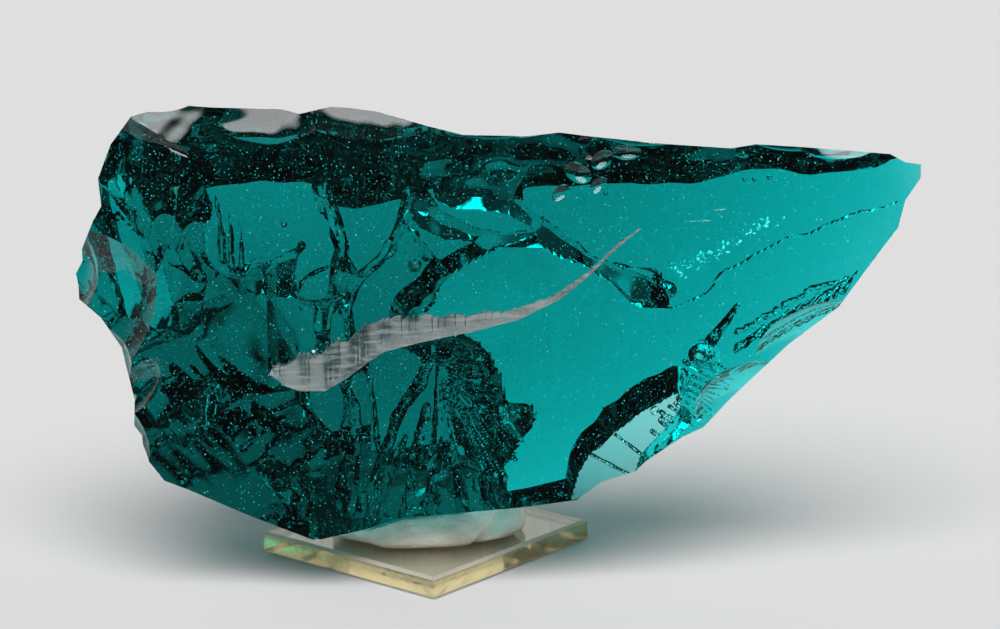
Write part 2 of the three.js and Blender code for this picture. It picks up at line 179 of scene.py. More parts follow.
# How far a wall wavers, and less where it is steeper than STEEP_WALL.
PAN_RIPPLE = 0.3
STEEP_RIPPLE = 0.12
STEEP_WALL = 70
# How tall and how wide a wall may be, how far its cutter reaches back, and the cutter's bounds.
# The cutter is about PAN_CELLS cells across, of a size between the two of PAN_CELL.
WALL_TALL = 34
WALL_WIDE = 9
PAN_BACK = 60
PAN_LOW, PAN_HIGH = (-66, -8), (90, 84)
PAN_CELLS = 150
PAN_CELL = (0.3, 0.55)

# Flakes struck off: the hollow's deepest place before it was cut, its direction,
# the egg's radii (across, along, out), its depth, and its turn in degrees.
FLAKES = {
    "oval_hollow": ((-43.5, -7.5, 58), (-0.55, -1, 0.36), (25, 34, 17), 2.3, -8),
    "oval_lip": ((-47, -7.6, 45.5), (-0.7, -1, 0.28), (20, 19, 12), 1.3, 24),
    "grey_facet": ((-42, -5.5, 73), (-0.12, -0.85, 0.85), (34, 22, 22), 3.2, 0),
    "shell_chip": ((-24.5, -6.5, 73.5), (0.06, -0.9, 0.85), (15, 11, 11), 3.4, 12),
    "smooth_chip": ((-8.5, -5.5, 74.4), (0.05, -0.8, 0.9), (26, 18, 18), 3, -4),
    "ridge_chip_a": ((6, -7.5, 72), (0.1, -0.7, 0.95), (17, 13, 13), 1.9, -8),
    "ridge_chip_b": ((18.5, -8, 71.2), (-0.1, -0.8, 0.9), (12, 9, 9), 1.8, 0),
    "ridge_chip_c": ((27.5, -9.2, 66.5), (0.1, -1, 0.5), (6.5, 9, 8), 1.9, 20),
    "ridge_chip_d": ((41, -8, 69), (0, -0.8, 0.9), (20, 12, 12), 1.9, -3),
    "ridge_chip_e": ((55, -6.5, 68), (0.1, -0.75, 0.95), (16, 11, 11), 1.7, 4),
    "ridge_chip_f": ((69, -4.5, 66), (0.1, -0.85, 0.85), (18, 12, 12), 1.7, -3),
    "tip_notch": ((81, -1, 58), (1, -0.5, -0.1), (6, 5, 5), 1, 0),
    "top_hollow_a": ((-38, 2, 74.6), (-0.1, 0.25, 1), (17, 11, 18), 1.8, 8),
    "top_hollow_b": ((-14, 2, 74.2), (0.06, 0.2, 1), (22, 12, 20), 1.7, -6),
    "top_hollow_c": ((12, 1, 69.4), (0.05, 0.2, 1), (19, 11, 18), 1.5, 5),
    "top_hollow_d": ((36, 1, 67.6), (0.05, 0.2, 1), (20, 10, 18), 1.3, -4),
    "top_hollow_e": ((60, 1, 66.2), (0.05, 0.3, 1), (17, 8, 16), 1.1, -8),
    "left_flake_a": ((-52.2, 1, 61), (-1, 0.1, -0.2), (6, 12, 9), 1.4, 12),
    "left_flake_b": ((-53.2, -2, 51), (-1, 0.1, -0.35), (9, 6, 7), 1.2, 25),
    "left_flake_c": ((-49, -9, 36), (-0.9, -0.6, -0.1), (9, 12, 11), 1.9, 0),
    "left_ledge": ((-44.5, -13, 30.6), (-0.55, -0.6, 0.7), (6, 4, 4), 1.6, 20),
    "left_flake_d": ((-46, -13.5, 23), (-0.85, -0.8, 0), (9, 12, 10), 1.4, 6),
    "low_bite_a": ((-33, -14.5, 8.6), (-0.3, -0.5, -0.85), (30, 16, 20), 1.2, 22),
    "struck_point": ((45.4, 1, 31.8), (0.2, 1, -0.2), (2.8, 2.4, 8), 7, 0),
    "edge_hollow_b": ((50, -12.6, 29.8), (0.5, -1, -0.45), (12, 7, 10), 2.2, 40),
    "edge_hollow_c": ((61, -10, 38.8), (0.45, -1, -0.4), (17, 8, 12), 1.8, 38),
}
# A flake with a radius above this is made of finer triangles.
LARGE_FLAKE = 12

# Small chips on the smooth face: (x, z), direction, radii, depth and turn.
FACE_CHIPS = {
    "crinkle_a": ((23, 60.5), (-0.3, -1, 0.75), (2.6, 1.6, 2), 0.6, 30),
    "crinkle_b": ((25.5, 63.5), (0.2, -1, 0.8), (3.2, 2, 2.2), 0.7, -20),
    "crinkle_c": ((29.5, 65.5), (-0.1, -1, 0.7), (2.8, 1.8, 2), 0.6, 35),
    "crinkle_d": ((33, 66.5), (0.2, -1, 0.9), (3.4, 1.6, 2), 0.6, 8),
    "crinkle_e": ((28, 61.5), (0.5, -1, 0.5), (1.6, 2.4, 2), 0.5, -30),
    "sliver": ((-38.6, 68.6), (0.1, -1, 0.8), (4.8, 1.0, 1.4), 0.55, -24),
    "white_spot": ((37.2, 26.6), (0, -1, 0.75), (0.9, 0.9, 0.9), 0.4, 0),
    "dash_a": ((48, 57.6), (0, -1, 0.7), (1.7, 0.35, 0.5), 0.2, 4),
    "dash_b": ((45.5, 56), (0, -1, 0.7), (3.4, 0.3, 0.5), 0.16, 2),
}

# Chips along the ridge are rippled more than the other flakes.
RIPPLED = ("grey_facet", "shell_chip", "smooth_chip", "ridge_chip_a", "ridge_chip_b", "ridge_chip_c",
           "ridge_chip_d", "ridge_chip_e", "ridge_chip_f")
RIDGE_RIPPLE = 0.13
FLAKE_RIPPLE = 0.05
CHIP_RIPPLE = 0.12

# Petals fan out inside the shell chip: their meeting place, how far from it their middles are, and
# their turns in degrees. Each has a direction, radii, a depth and a ripple. A middle lies up and
# back from the meeting place, by PETAL_SLANT of its distance each.
PETALS_AT = (-21.2, -9.0, 70.6)
PETAL_REACH = 3.1
PETAL_TURNS = (-62, -40, -20, 0, 20, 42)
PETAL_FACING = (0.05, -0.9, 0.85)
PETAL_RADII = (1.25, 3.6, 1.6)
PETAL_DEPTH = 0.75
PETAL_RIPPLE = 0.1
PETAL_SLANT = 0.75

# Veins: sharp grooves in the back, as (x, z) along each, and half its width at each end.
VEIN_WALL = 60
VEIN_CELL = 0.28
VEINS = {
    "reed_a": ([(-13, 22), (-11.5, 19), (-11, 15.5), (-11.5, 11), (-12.5, 6.5), (-11.5, 3)], 0.9, 1.2),
    "reed_b": ([(-9, 26), (-8, 19.5), (-7.5, 14.5), (-7, 13)], 0.45, 0.5),
    "reed_c": (
        [(1.5, 29), (-0.5, 23.5), (-3, 20.5), (-4.5, 18), (-5.5, 15), (-8, 10.5), (-9.5, 5)], 1.1, 0.8,
    ),
    "reed_d": ([(-3, 15.5), (-5, 11.5), (-8, 8), (-9.5, 5)], 0.5, 0.9),
    "reed_e": ([(0.5, 20), (0, 18), (-1.5, 13), (-2.5, 9), (-4.5, 5.5)], 0.8, 1.0),
    "streak_a": ([(-33, 58), (-32.2, 52), (-32, 45)], 0.0, 0.9),
    "streak_b": ([(-31, 54), (-30.4, 50), (-30.6, 44)], -0.1, 0.7),
    "streak_c": ([(-29.2, 52), (-28.8, 50), (-29, 44)], -0.1, 0.55),
    "slash_a": ([(-19.5, 48), (-21.5, 46), (-24.5, 44.5), (-29.5, 42.5)], 0.7, 1.4),
    "slash_b": ([(-15.5, 44.5), (-19, 42.5), (-21, 40)], 0.3, 0.5),
    "vein_a": ([(-15.5, 57.5), (-14, 52.5), (-13, 47.5), (-14, 42.5), (-15.5, 38), (-17, 33)], 1.0, 1.4),
    "vein_c": ([(-1.5, 56), (-3, 50.5), (-5, 46), (-9.5, 42.5)], 0.9, 1.1),
    "hollow_back": ([(-46.5, 57), (-43, 48), (-40, 39)], 3.4, 4.6),
    "vein_d": ([(-9.5, 42.5), (-11.5, 39.5), (-12.5, 36.5), (-12, 32)], 1.0, 0.8),
}
RIGHT_VEINS = {
    "cross_a": ([(29, 24), (36, 18.6)], 0.26, 0.3),
    "cross_b": ([(26, 20), (34.5, 15.5)], 0.32, 0.24),
    "lens_a": ([(31.5, 45), (35.5, 43.5), (40, 41.5)], 0.5, 1.2),
    "wedge": ([(34.5, 15.5), (38, 19.5), (41.5, 23)], 1.0, 1.6),
    "rise": ([(46.5, 34), (48.5, 36.5), (51, 39.5)], 1.0, 0.4),
}
# Hackle: short grooves side by side. From and to the middles, the half length of each, its half
# width, and how many.
HACKLES = {
    "rim_hackle": ((51.5, 34), (69, 43.5), (1.5, 1.4), 0.5, 26),
    "inner_hackle": ((52, 36), (66, 43.5), (1.6, 0.5), 0.35, 18),
    "corner_hackle": ((39.5, 21.5), (47, 31), (3.2, -1.7), 0.4, 12),
}
# How far their middles scatter, and half the width of each at its end.
HACKLE_SCATTER = 0.15
HACKLE_END = 0.1
# How far the edges of the grooves waver, as a share: on the left and the fan, and on the right.
ROUGH = 1
CLEAN = 0.4
# A fan of grooves from one point to this rim, bent in the middle, and the half widths along each.
FAN_FROM = (2.5, 26)
FAN_RIM = [(6, 33), (10, 31), (13, 26), (14.5, 21.5), (17, 18.5), (16, 15.5), (14, 13), (13, 10),
           (13, 6), (7, 5.5), (0.5, 5)]
FAN_BEND = (0.6, -0.8)
FAN_WIDTHS = (0.4, 1.1, 1.0, -0.3)

# Where the seeds of each kind of form start. The hackle has one seed for all.
FACE_SEED = 30
FLAKE_SEED = 60
PAN_SEED = 90
PETAL_SEED = 300
CHIP_SEED = 500
HACKLE_SEED = 77


def mesh_object(name, verts, faces):
    """A new object in the scene from vertices in millimetres."""
    mesh = bpy.data.meshes.new(name)
    mesh.from_pydata([tuple(v) for v in np.asarray(verts) * MM], [], faces)
    mesh.update()
    thing = bpy.data.objects.new(name, mesh)
    bpy.context.scene.collection.objects.link(thing)
    return thing


def closed(thing):
    """Turns every face outwards and cuts the faces into triangles."""
    work = bmesh.new()
    work.from_mesh(thing.data)
    bmesh.ops.recalc_face_normals(work, faces=work.faces)
    bmesh.ops.triangulate(work, faces=work.faces)
    work.to_mesh(thing.data)
    work.free()
    return thing


def ball(steps):
    """The points and triangles of a ball of radius 1."""
    work = bmesh.new()
    bmesh.ops.create_icosphere(work, subdivisions=steps, radius=1.0)
    points = np.array([v.co[:] for v in work.verts])
    faces = np.array([[v.index for v in f.verts] for f in work.faces])
    work.free()
    return points, faces


def grid_faces(rows, columns):
    """The quads of a grid of points."""
    faces = []
    for i in range(rows - 1):
        for j in range(columns - 1):
            a = i * columns + j
            faces.append((a, a + 1, a + columns + 1, a + columns))
    return faces


def grid_rim(rows, columns):
    """The points round the edge of a grid, in order."""
    rim = [i * columns for i in range(rows)]
    rim += [(rows - 1) * columns + j for j in range(1, columns)]
    rim += [i * columns + columns - 1 for i in range(rows - 2, -1, -1)]
    rim += [j for j in range(columns - 2, 0, -1)]
    return rim


def aimed(points, at, facing, turn=0.0):
    """Points made around +Z, turned to look along facing and carried to at."""
    spin = Matrix.Rotation(math.radians(turn), 3, "Z")
    tilt = Vector((0, 0, 1)).rotation_difference(Vector(facing).normalized()).to_matrix()
    return np.asarray(points) @ np.array(tilt @ spin).T + np.array(at)


def swell(points, size, seed):
    """A smooth random height at each point, about one unit high and size millimetres across."""
    waves = 7
    own = np.random.default_rng(seed)
    directions = own.normal(size=(waves, points.shape[1]))
    directions /= np.linalg.norm(directions, axis=1)[:, None]
    phases = own.uniform(0, 2 * math.pi, waves)
    pitch = own.uniform(0.7, 1.4, waves)
    angle = points @ directions.T * (2 * math.pi / size) * pitch + phases
    return np.sin(angle).sum(axis=1) / math.sqrt(waves)


def smooth_loop(outline):
    """A closed curve through the points of an outline."""
    parts = 4
    knots = np.array(outline, dtype=float)
    before, after, later = np.roll(knots, 1, 0), np.roll(knots, -1, 0), np.roll(knots, -2, 0)
    pieces = []
    for part in range(parts):
        t = part / parts
        piece = 0.5 * (2 * knots + (after - before) * t)
        piece += 0.5 * (2 * before - 5 * knots + 4 * after - later) * t ** 2
        piece += 0.5 * (3 * knots - before - 3 * after + later) * t ** 3
        pieces.append(piece)
    return np.stack(pieces, axis=1).reshape(-1, 2)


def signed_distance(points, loop):
    """How far each point lies outside a closed outline (negative inside it)."""
    ahead = np.roll(loop, -1, axis=0)
    best = np.full(len(points), 1e9)
    inside = np.zeros(len(points), dtype=bool)
    for (ax, az), (bx, bz) in zip(loop, ahead):
        edge = np.array([bx - ax, bz - az])
        to = points - (ax, az)
        along = np.clip(to @ edge / (edge @ edge + 1e-12), 0, 1)
        best = np.minimum(best, np.hypot(*(to - along[:, None] * edge).T))
        crosses = (az > points[:, 1]) != (bz > points[:, 1])
        with np.errstate(divide="ignore", invalid="ignore"):
            at_x = ax + (points[:, 1] - az) * edge[0] / edge[1]
        inside ^= crosses & (points[:, 0] < at_x)
    return np.where(inside, -best, best)


def carve(target, cutter):
    """Cuts the cutter out of the target and removes the cutter."""
    cut = target.modifiers.new("cut", "BOOLEAN")
    cut.operation = "DIFFERENCE"
    cut.solver = "MANIFOLD"
    cut.object = cutter
    graph = bpy.context.evaluated_depsgraph_get()
    result = bpy.data.meshes.new_from_object(target.evaluated_get(graph))
    target.modifiers.clear()
    old = target.data
    target.data = result
    bpy.data.meshes.remove(old)
    bpy.data.objects.remove(cutter)


def extruded(outline, front, back):
    """A prism of an (x, z) outline between two depths."""
    count = len(outline)
    verts = []
    for depth in (front, back):
        for x, z in outline:
            verts.append((x, depth, z))
    faces = [tuple(range(count)), tuple(range(2 * count - 1, count - 1, -1))]
    for i in range(count):
        j = (i + 1) % count
        faces.append((j, i, count + i, count + j))
    return np.array(verts), faces


def blank():
    """The rim's outline drawn out from front to back, towards the flanks' far point."""
    verts, faces = extruded(RIM, BLANK_FRONT, BLANK_BACK)
    scale = (verts[:, 1:2] - FLANK_POINT[1]) / -FLANK_POINT[1]
    flat = FLANK_POINT * (1, 0, 1)
    verts = flat + (verts - flat) * np.hstack([scale, np.ones_like(scale), scale])
    return closed(mesh_object("blank", verts, faces))


def outside(name, at, facing, bow, relief, seed):
    """All that lies outside a broken face: a block whose near side bulges."""
    wide, narrow, narrow_share = 24, 7, 0.3
    side = int(FACE_SPAN / FACE_CELL) + 1
    steps = np.linspace(-FACE_SPAN / 2, FACE_SPAN / 2, side)
    u, v = np.meshgrid(steps, steps, indexing="ij")
    flat = np.stack([u.ravel(), v.ravel()], axis=1)
    height = -flat[:, 0] ** 2 / (2 * bow[0]) - flat[:, 1] ** 2 / (2 * bow[1])
    height += relief * swell(flat, wide, seed) + narrow_share * relief * swell(flat, narrow, seed + 50)
    near = np.column_stack([flat, height])
    faces = grid_faces(side, side)
    ring = grid_rim(side, side)
    far = near[ring].copy()
    far[:, 2] = FACE_BLOCK
    verts = np.vstack([near, far, [[0, 0, FACE_BLOCK]]])
    first = len(near)
    middle = first + len(ring)
    for i in range(len(ring)):
        j = (i + 1) % len(ring)
        faces.append((ring[j], first + j, first + i, ring[i]))
        faces.append((first + i, first + j, middle))
    return closed(mesh_object(name, aimed(verts, at, facing), faces))


def flake(name, at, facing, radii, depth, turn, ripple, seed):
    """The egg that a flake's hollow is part of, rippled as glass breaks."""
    wavelength = 6
    unit, faces = ball(6 if max(radii) > LARGE_FLAKE else 5)
    wave = ripple * swell(unit * radii, wavelength, seed) / max(radii)
    points = unit * (1 + wave)[:, None] * radii
    points[:, 2] += radii[2] - depth
    return mesh_object(name, aimed(points, at, facing, turn), faces.tolist())


def front_depth(x, z):
    """Where the smooth front face lies, before any flake."""
    at, facing, bow = FACES["front"]
    across, up = x - at[0], z - at[2]
    lean = facing[0] * across + facing[2] * up
    return at[1] + lean + across ** 2 / (2 * bow[0]) + up ** 2 / (2 * bow[1])


def step_teeth(x):
    """How far up the step's slope reaches at x, as a share of its usual reach: its edge is ragged."""
    flat = np.ravel(x)
    saw = (flat / TOOTH + 0.5 * swell(flat[:, None], 5, 23)) % 1
    return (0.96 + 0.09 * swell(flat[:, None], 6, 21) + 0.16 * saw).reshape(np.shape(x))


def above_step():
    """What the step takes off: all in front of the set-back face, above the lip."""
    left, right = STEP_LIP[0][0] - STEP_MARGIN, STEP_LIP[-1][0] + STEP_MARGIN
    lip_x, lip_z = np.array(STEP_LIP).T
    depth_x, depth = np.array(STEP_DEPTH).T
    x = np.linspace(left, right, 320)
    climb = np.concatenate([np.linspace(-1, 7, 46), np.linspace(8, STEP_FADE, 24)])
    xs, climbs = np.meshgrid(x, climb, indexing="ij")
    lips = np.interp(xs, lip_x, lip_z)
    set_back = np.interp(xs, depth_x, depth)
    ramp = np.minimum(climbs / (STEP_LEAN * step_teeth(xs)), set_back)
    ramp = np.where(set_back > 0, ramp, set_back)
    fade = 1 - climbs / STEP_FADE
    zs = lips + climbs
    ys = front_depth(xs, zs) + ramp * fade - 0.05 * (climbs >= STEP_FADE)
    near = np.stack([xs, ys, zs], axis=2).reshape(-1, 3)
    far = near.copy()
    far[:, 1] -= STEP_AHEAD
    faces = []
    total = len(near)
    for quad in grid_faces(*xs.shape):
        faces.append(quad)
        faces.append(tuple(v + total for v in reversed(quad)))
    rim = grid_rim(*xs.shape)
    for i in range(len(rim)):
        j = (i + 1) % len(rim)
        faces.append((rim[i], rim[j], rim[j] + total, rim[i] + total))
    return closed(mesh_object("step_cutter", np.vstack([near, far]), faces))


def on_step(centre):
    """Whether a point of the surface, in millimetres, is on the step's rough slope."""
    x, y, z = centre
    if not STEP_LIP[0][0] < x < STEP_LIP[-1][0]:
        return False
    lip_x, lip_z = np.array(STEP_LIP).T
    depth_x, depth = np.array(STEP_DEPTH).T
    set_back = np.interp(x, depth_x, depth)
    climb = z - np.interp(x, lip_x, lip_z)
    reach = STEP_LEAN * float(step_teeth(np.array([x]))[0]) * set_back
    return -0.2 < climb < reach + 0.3 and abs(y - front_depth(x, z)) < set_back + 0.2


def block_behind(name, flat, ys, shape, back):
    """A block from a height field over (x, z) to a flat back."""
    near = np.column_stack([flat[:, 0], ys, flat[:, 1]])
    far = near.copy()
    far[:, 1] = back
    total = len(near)
    faces = grid_faces(*shape)
    rim = grid_rim(*shape)
    ring = far[rim]
    middle = ring.mean(axis=0)
    count = len(rim)
    for i in range(count):
        j = (i + 1) % count
        faces.append((rim[i], rim[j], total + j, total + i))
        faces.append((total + i, total + j, total + count))
    return closed(mesh_object(name, np.vstack([near, ring, [middle]]), faces))


def pan(name, outline, floor, wall, seed):
    """A pan-shaped cutter: its floor is a broken face, and its walls lean outwards."""
    at, facing, bow = floor
    loop = smooth_loop(outline)
    slope = math.tan(math.radians(wall))
    margin = min(WALL_TALL / slope, WALL_WIDE)
    low = np.maximum(loop.min(axis=0) - margin, PAN_LOW)
    high = np.minimum(loop.max(axis=0) + margin, PAN_HIGH)
    cell = min(max((high - low).max() / PAN_CELLS, PAN_CELL[0]), PAN_CELL[1])
    x = np.arange(low[0], high[0] + cell, cell)
    z = np.arange(low[1], high[1] + cell, cell)
    xs, zs = np.meshgrid(x, z, indexing="ij")
    flat = np.column_stack([xs.ravel(), zs.ravel()])
    across, up = flat[:, 0] - at[0], flat[:, 1] - at[2]
    ys = at[1] - (facing[0] * across + facing[2] * up) / facing[1]
    ys -= across ** 2 / (2 * bow[0]) + up ** 2 / (2 * bow[1])
    ys += 0.04 * swell(flat, 15, seed) + 0.008 * swell(flat, 4, seed + 1)
    ripple = STEEP_RIPPLE if wall > STEEP_WALL else PAN_RIPPLE
    gap = signed_distance(flat, loop) + ripple * swell(np.column_stack([flat, ys]), 5, seed + 2)
    ys += slope * np.clip(gap, 0, margin)
    return block_behind(name, flat, ys, xs.shape, PAN_BACK)


def vein_lines(veins):
    """Grooves as points (x, z, half width)."""
    lines = []
    for points, first, last in veins.values():
        widths = np.linspace(first, last, len(points))
        lines.append(np.column_stack([points, widths]))
    return lines


def hackle_lines():
    """The grooves of the hackle, side by side."""
    own = np.random.default_rng(HACKLE_SEED)
    lines = []
    for first, last, half, wide, count in HACKLES.values():
        for share in np.linspace(0, 1, count):
            middle = np.array(first) * (1 - share) + np.array(last) * share
            middle = middle + own.normal(0, HACKLE_SCATTER, 2)
            reach = np.array(half) * own.uniform(0.6, 1.2, 2)
            lines.append(np.array([(*(middle - reach), wide), (*(middle + reach), HACKLE_END)]))
    return lines


def fan_lines():
    """The grooves that spread from one point."""
    lines = []
    for x, z in FAN_RIM:
        half = (np.array(FAN_FROM) + (x, z)) / 2 + FAN_BEND
        near_rim = half * 0.4 + np.array([x, z]) * 0.6
        widths = zip((FAN_FROM, half, near_rim, (x, z)), FAN_WIDTHS)
        lines.append(np.array([(*place, width) for place, width in widths]))
    return lines


def width_left(flat, line):
    """How far each point is inside a groove's half width (negative outside it)."""
    best = np.full(len(flat), -9.0)
    for (ax, az, wide_a), (bx, bz, wide_b) in zip(line, line[1:]):
        way = np.array([bx - ax, bz - az])
        to = flat - (ax, az)
        share = np.clip(to @ way / (way @ way), 0, 1)
        gap = np.hypot(*(to - share[:, None] * way).T)
        best = np.maximum(best, wide_a + (wide_b - wide_a) * share - gap)
    return best


def back_depths(glass, flat, start):
    """How far back the glass reaches at each (x, z), or start where there is none."""
    tree = BVHTree.FromObject(glass, bpy.context.evaluated_depsgraph_get())
    way = Vector((0, -1, 0))
    back = np.full(len(flat), float(start))
    for i, (x, z) in enumerate(flat):
        hit = tree.ray_cast(Vector((x, start, z)) * MM, way)[0]
        if hit:
            back[i] = hit.y / MM
    return back


def grooves(glass, lines, rough):
    """What some grooves take out of the back, wherever the back lies now."""
    margin = 3
    every = np.vstack(lines)
    low, high = every[:, :2].min(axis=0) - margin, every[:, :2].max(axis=0) + margin
    x, z = np.arange(low[0], high[0], VEIN_CELL), np.arange(low[1], high[1], VEIN_CELL)
    xs, zs = np.meshgrid(x, z, indexing="ij")
    flat = np.column_stack([xs.ravel(), zs.ravel()])
    start = BLANK_BACK + 20
    back = back_depths(glass, flat, start)
    inside = np.max([width_left(flat, line) for line in lines], axis=0)
    inside += rough * (0.12 * swell(flat, 4, 401) + 0.03 * swell(flat, 1.3, 402))
    ys = back - math.tan(math.radians(VEIN_WALL)) * np.maximum(inside, -1.5)
    return block_behind("grooves", flat, np.minimum(ys, start + 1), xs.shape, start + 6)


def petals():
    """Narrow scallops side by side, spread like a shell."""
    for number, turn in enumerate(PETAL_TURNS):
        angle = math.radians(turn)
        rise = PETAL_SLANT * math.cos(angle)
        at = np.array(PETALS_AT) + np.array([math.sin(angle), rise, rise]) * PETAL_REACH
        yield flake(f"petal_{number}", at, PETAL_FACING, PETAL_RADII, PETAL_DEPTH, -turn,
                    PETAL_RIPPLE, PETAL_SEED + number)


def carved_glass():
    """The shard's shape: the blank with its faces, step, pans, flakes, chips and grooves cut."""
    glass = blank()
    for number, (name, face) in enumerate(FACES.items()):
        relief = FACE_RELIEF.get(name, OTHER_RELIEF)
        carve(glass, outside(name, *face, relief, FACE_SEED + number))
    carve(glass, above_step())
    for number, (name, hollow) in enumerate(PANS.items()):
        carve(glass, pan(name, *hollow, PAN_SEED + number))
    for number, (name, hollow) in enumerate(FLAKES.items()):
        ripple = RIDGE_RIPPLE if name in RIPPLED else FLAKE_RIPPLE
        carve(glass, flake(name, *hollow, ripple, FLAKE_SEED + number))
    for number, (name, ((x, z), *chip)) in enumerate(FACE_CHIPS.items()):
        at = (x, front_depth(x, z), z)
        carve(glass, flake(name, at, *chip, CHIP_RIPPLE, CHIP_SEED + number))
    for petal in petals():
        carve(glass, petal)
    carve(glass, grooves(glass, vein_lines(VEINS), ROUGH))
    carve(glass, grooves(glass, fan_lines(), ROUGH))
    carve(glass, grooves(glass, vein_lines(RIGHT_VEINS) + hackle_lines(), CLEAN))
    return glass


def shard():
    """The shard, clear all over but for the step's splintered slope."""
    glass = carved_glass()
    glass.name = "glass_shard"
    glass.data.name = "glass_shard"
    glass.data.shade_smooth()
    glass.data.set_sharp_from_angle(angle=math.radians(16))
    glass.data.materials.clear()
    glass.data.materials.append(glass_material())
    glass.data.materials.append(hackle_material())
    for face in glass.data.polygons:
        across, ahead, up = face.normal
        rough = up > STEEPER * -ahead > 0 or abs(across) > SIDEWAYS
        if rough and on_step(face.center / MM):
            face.material_index = 1
    return glass


def node_material(name):
    """A new material, its nodes, its shader and its output."""
    material = bpy.data.materials.new(name)
    material.use_nodes = True
    tree = material.node_tree
    return material, tree, tree.nodes["Principled BSDF"], tree.nodes["Material Output"]


def noise_node(tree, scale, detail, stretch=(1, 1, 1), turn=(0, 0, 0)):
    """Noise in millimetres of the object, stretched along its own turned axes."""
    coords = tree.nodes.new("ShaderNodeTexCoord")
    place = tree.nodes.new("ShaderNodeMapping")
    place.inputs["Scale"].default_value = [scale * 1000 * s for s in stretch]
    place.inputs["Rotation"].default_value = [math.radians(a) for a in turn]
    tree.links.new(coords.outputs["Object"], place.inputs["Vector"])
    noise = tree.nodes.new("ShaderNodeTexNoise")
    noise.inputs["Scale"].default_value = 1.0
    noise.inputs["Detail"].default_value = detail
    tree.links.new(place.outputs["Vector"], noise.inputs["Vector"])
    return noise.outputs["Fac"]


def ramp_node(tree, value, low, high, out_low, out_high, smooth=False):
    """A value carried over from one range to another."""
    node = tree.nodes.new("ShaderNodeMapRange")
    if smooth:
        node.interpolation_type = "SMOOTHSTEP"
    node.inputs["From Min"].default_value = low
    node.inputs["From Max"].default_value = high
    node.inputs["To Min"].default_value = out_low
    node.inputs["To Max"].default_value = out_high
    tree.links.new(value, node.inputs["Value"])
    return node.outputs["Result"]


def maths_node(tree, operation, *values):
    """One operation on values that are each a number or the output of a node."""
    node = tree.nodes.new("ShaderNodeMath")
    node.operation = operation
    for socket, value in zip(node.inputs, values):
        if isinstance(value, float):
            socket.default_value = value
        else:
            tree.links.new(value, socket)
    return node.outputs[0]


def colour_node(tree, value, low, high, dark, light):
    """A colour that goes from dark to light as the value goes from low to high."""
    mix = tree.nodes.new("ShaderNodeMix")
    mix.data_type = "RGBA"
    mix.inputs["A"].default_value = (*dark, 1)
    mix.inputs["B"].default_value = (*light, 1)
    tree.links.new(ramp_node(tree, value, low, high, 0, 1), mix.inputs["Factor"])
    return mix.outputs["Result"]


def add_bump(tree, shader, height, strength, distance):
    """Raises the surface a little where the height is large."""
    bump = tree.nodes.new("ShaderNodeBump")
    bump.inputs["Strength"].default_value = strength
    bump.inputs["Distance"].default_value = distance
    tree.links.new(height, bump.inputs["Height"])
    tree.links.new(bump.outputs["Normal"], shader.inputs["Normal"])


def add_absorption(tree, output, colour, density):
    """Tints the light by how far it goes through the material."""
    absorb = tree.nodes.new("ShaderNodeVolumeAbsorption")
    absorb.inputs["Color"].default_value = (*colour, 1)
    absorb.inputs["Density"].default_value = density
    tree.links.new(absorb.outputs["Volume"], output.inputs["Volume"])


# Glass: how much it bends light, the colour that it lets through, and how strongly it tints.
GLASS_IOR = 1.5
GLASS_COLOUR = (0.0, 0.898, 0.895)
GLASS_DENSITY = 450.0


def make_clear(shader):
    """Makes the surface polished clear glass."""
    shader.inputs["Base Color"].default_value = (1, 1, 1, 1)
    shader.inputs["Roughness"].default_value = 0.0
    shader.inputs["IOR"].default_value = GLASS_IOR
    shader.inputs["Transmission Weight"].default_value = 1.0


def glass_material():
    """Clear teal glass."""
    material, tree, shader, output = node_material("teal_glass")
    make_clear(shader)
    add_absorption(tree, output, GLASS_COLOUR, GLASS_DENSITY)
    return material


def hackle_material():
    """Glass splintered so finely that it looks frosted, in streaks."""
    material, tree, shader, output = node_material("hackled_glass")
    streaks = noise_node(tree, 1.7, 4, stretch=(0.1, 1, 1), turn=(0, 20, 0))
    colour = colour_node(tree, streaks, 0.4, 0.6, (0.2, 0.44, 0.44), (0.72, 0.84, 0.84))
    clearness = ramp_node(tree, streaks, 0.42, 0.6, 0.94, 0.85)
    tree.links.new(colour, shader.inputs["Base Color"])
    tree.links.new(clearness, shader.inputs["Transmission Weight"])
    tree.links.new(ramp_node(tree, streaks, 0.35, 0.6, 0.32, 0.5), shader.inputs["Roughness"])
    shader.inputs["IOR"].default_value = GLASS_IOR
    shader.inputs["Specular IOR Level"].default_value = 0.2
    add_bump(tree, shader, streaks, 0.12, 0.0002)
    add_absorption(tree, output, GLASS_COLOUR, GLASS_DENSITY)
    return material


def bubble_material(name, painted_glint):
    """Clear glass against air, with a faint glow in place of the light that a small bubble catches: a
    painted glint.
    """
    material, _, shader, _ = node_material(name)
    make_clear(shader)
    shader.inputs["Emission Color"].default_value = (0.5, 1, 0.96, 1)
    shader.inputs["Emission Strength"].default_value = painted_glint
    return material


def putty_material():
    """Soft off-white putty, pressed and smudged."""
    material, tree, shader, _ = node_material("white_putty")
    smudges = noise_node(tree, 0.16, 4, stretch=(1, 1, 1.6))
    colour = colour_node(tree, smudges, 0.35, 0.62, (0.66, 0.6, 0.52), (0.93, 0.87, 0.79))
    tree.links.new(colour, shader.inputs["Base Color"])
    tree.links.new(ramp_node(tree, smudges, 0.3, 0.7, 0.42, 0.7), shader.inputs["Roughness"])
    shader.inputs["Subsurface Weight"].default_value = 0.12
    shader.inputs["Subsurface Scale"].default_value = 0.002
    creases = noise_node(tree, 0.5, 6, stretch=(1, 1, 2.4), turn=(20, 30, 0))
    add_bump(tree, shader, creases, 0.6, 0.0006)
    return material


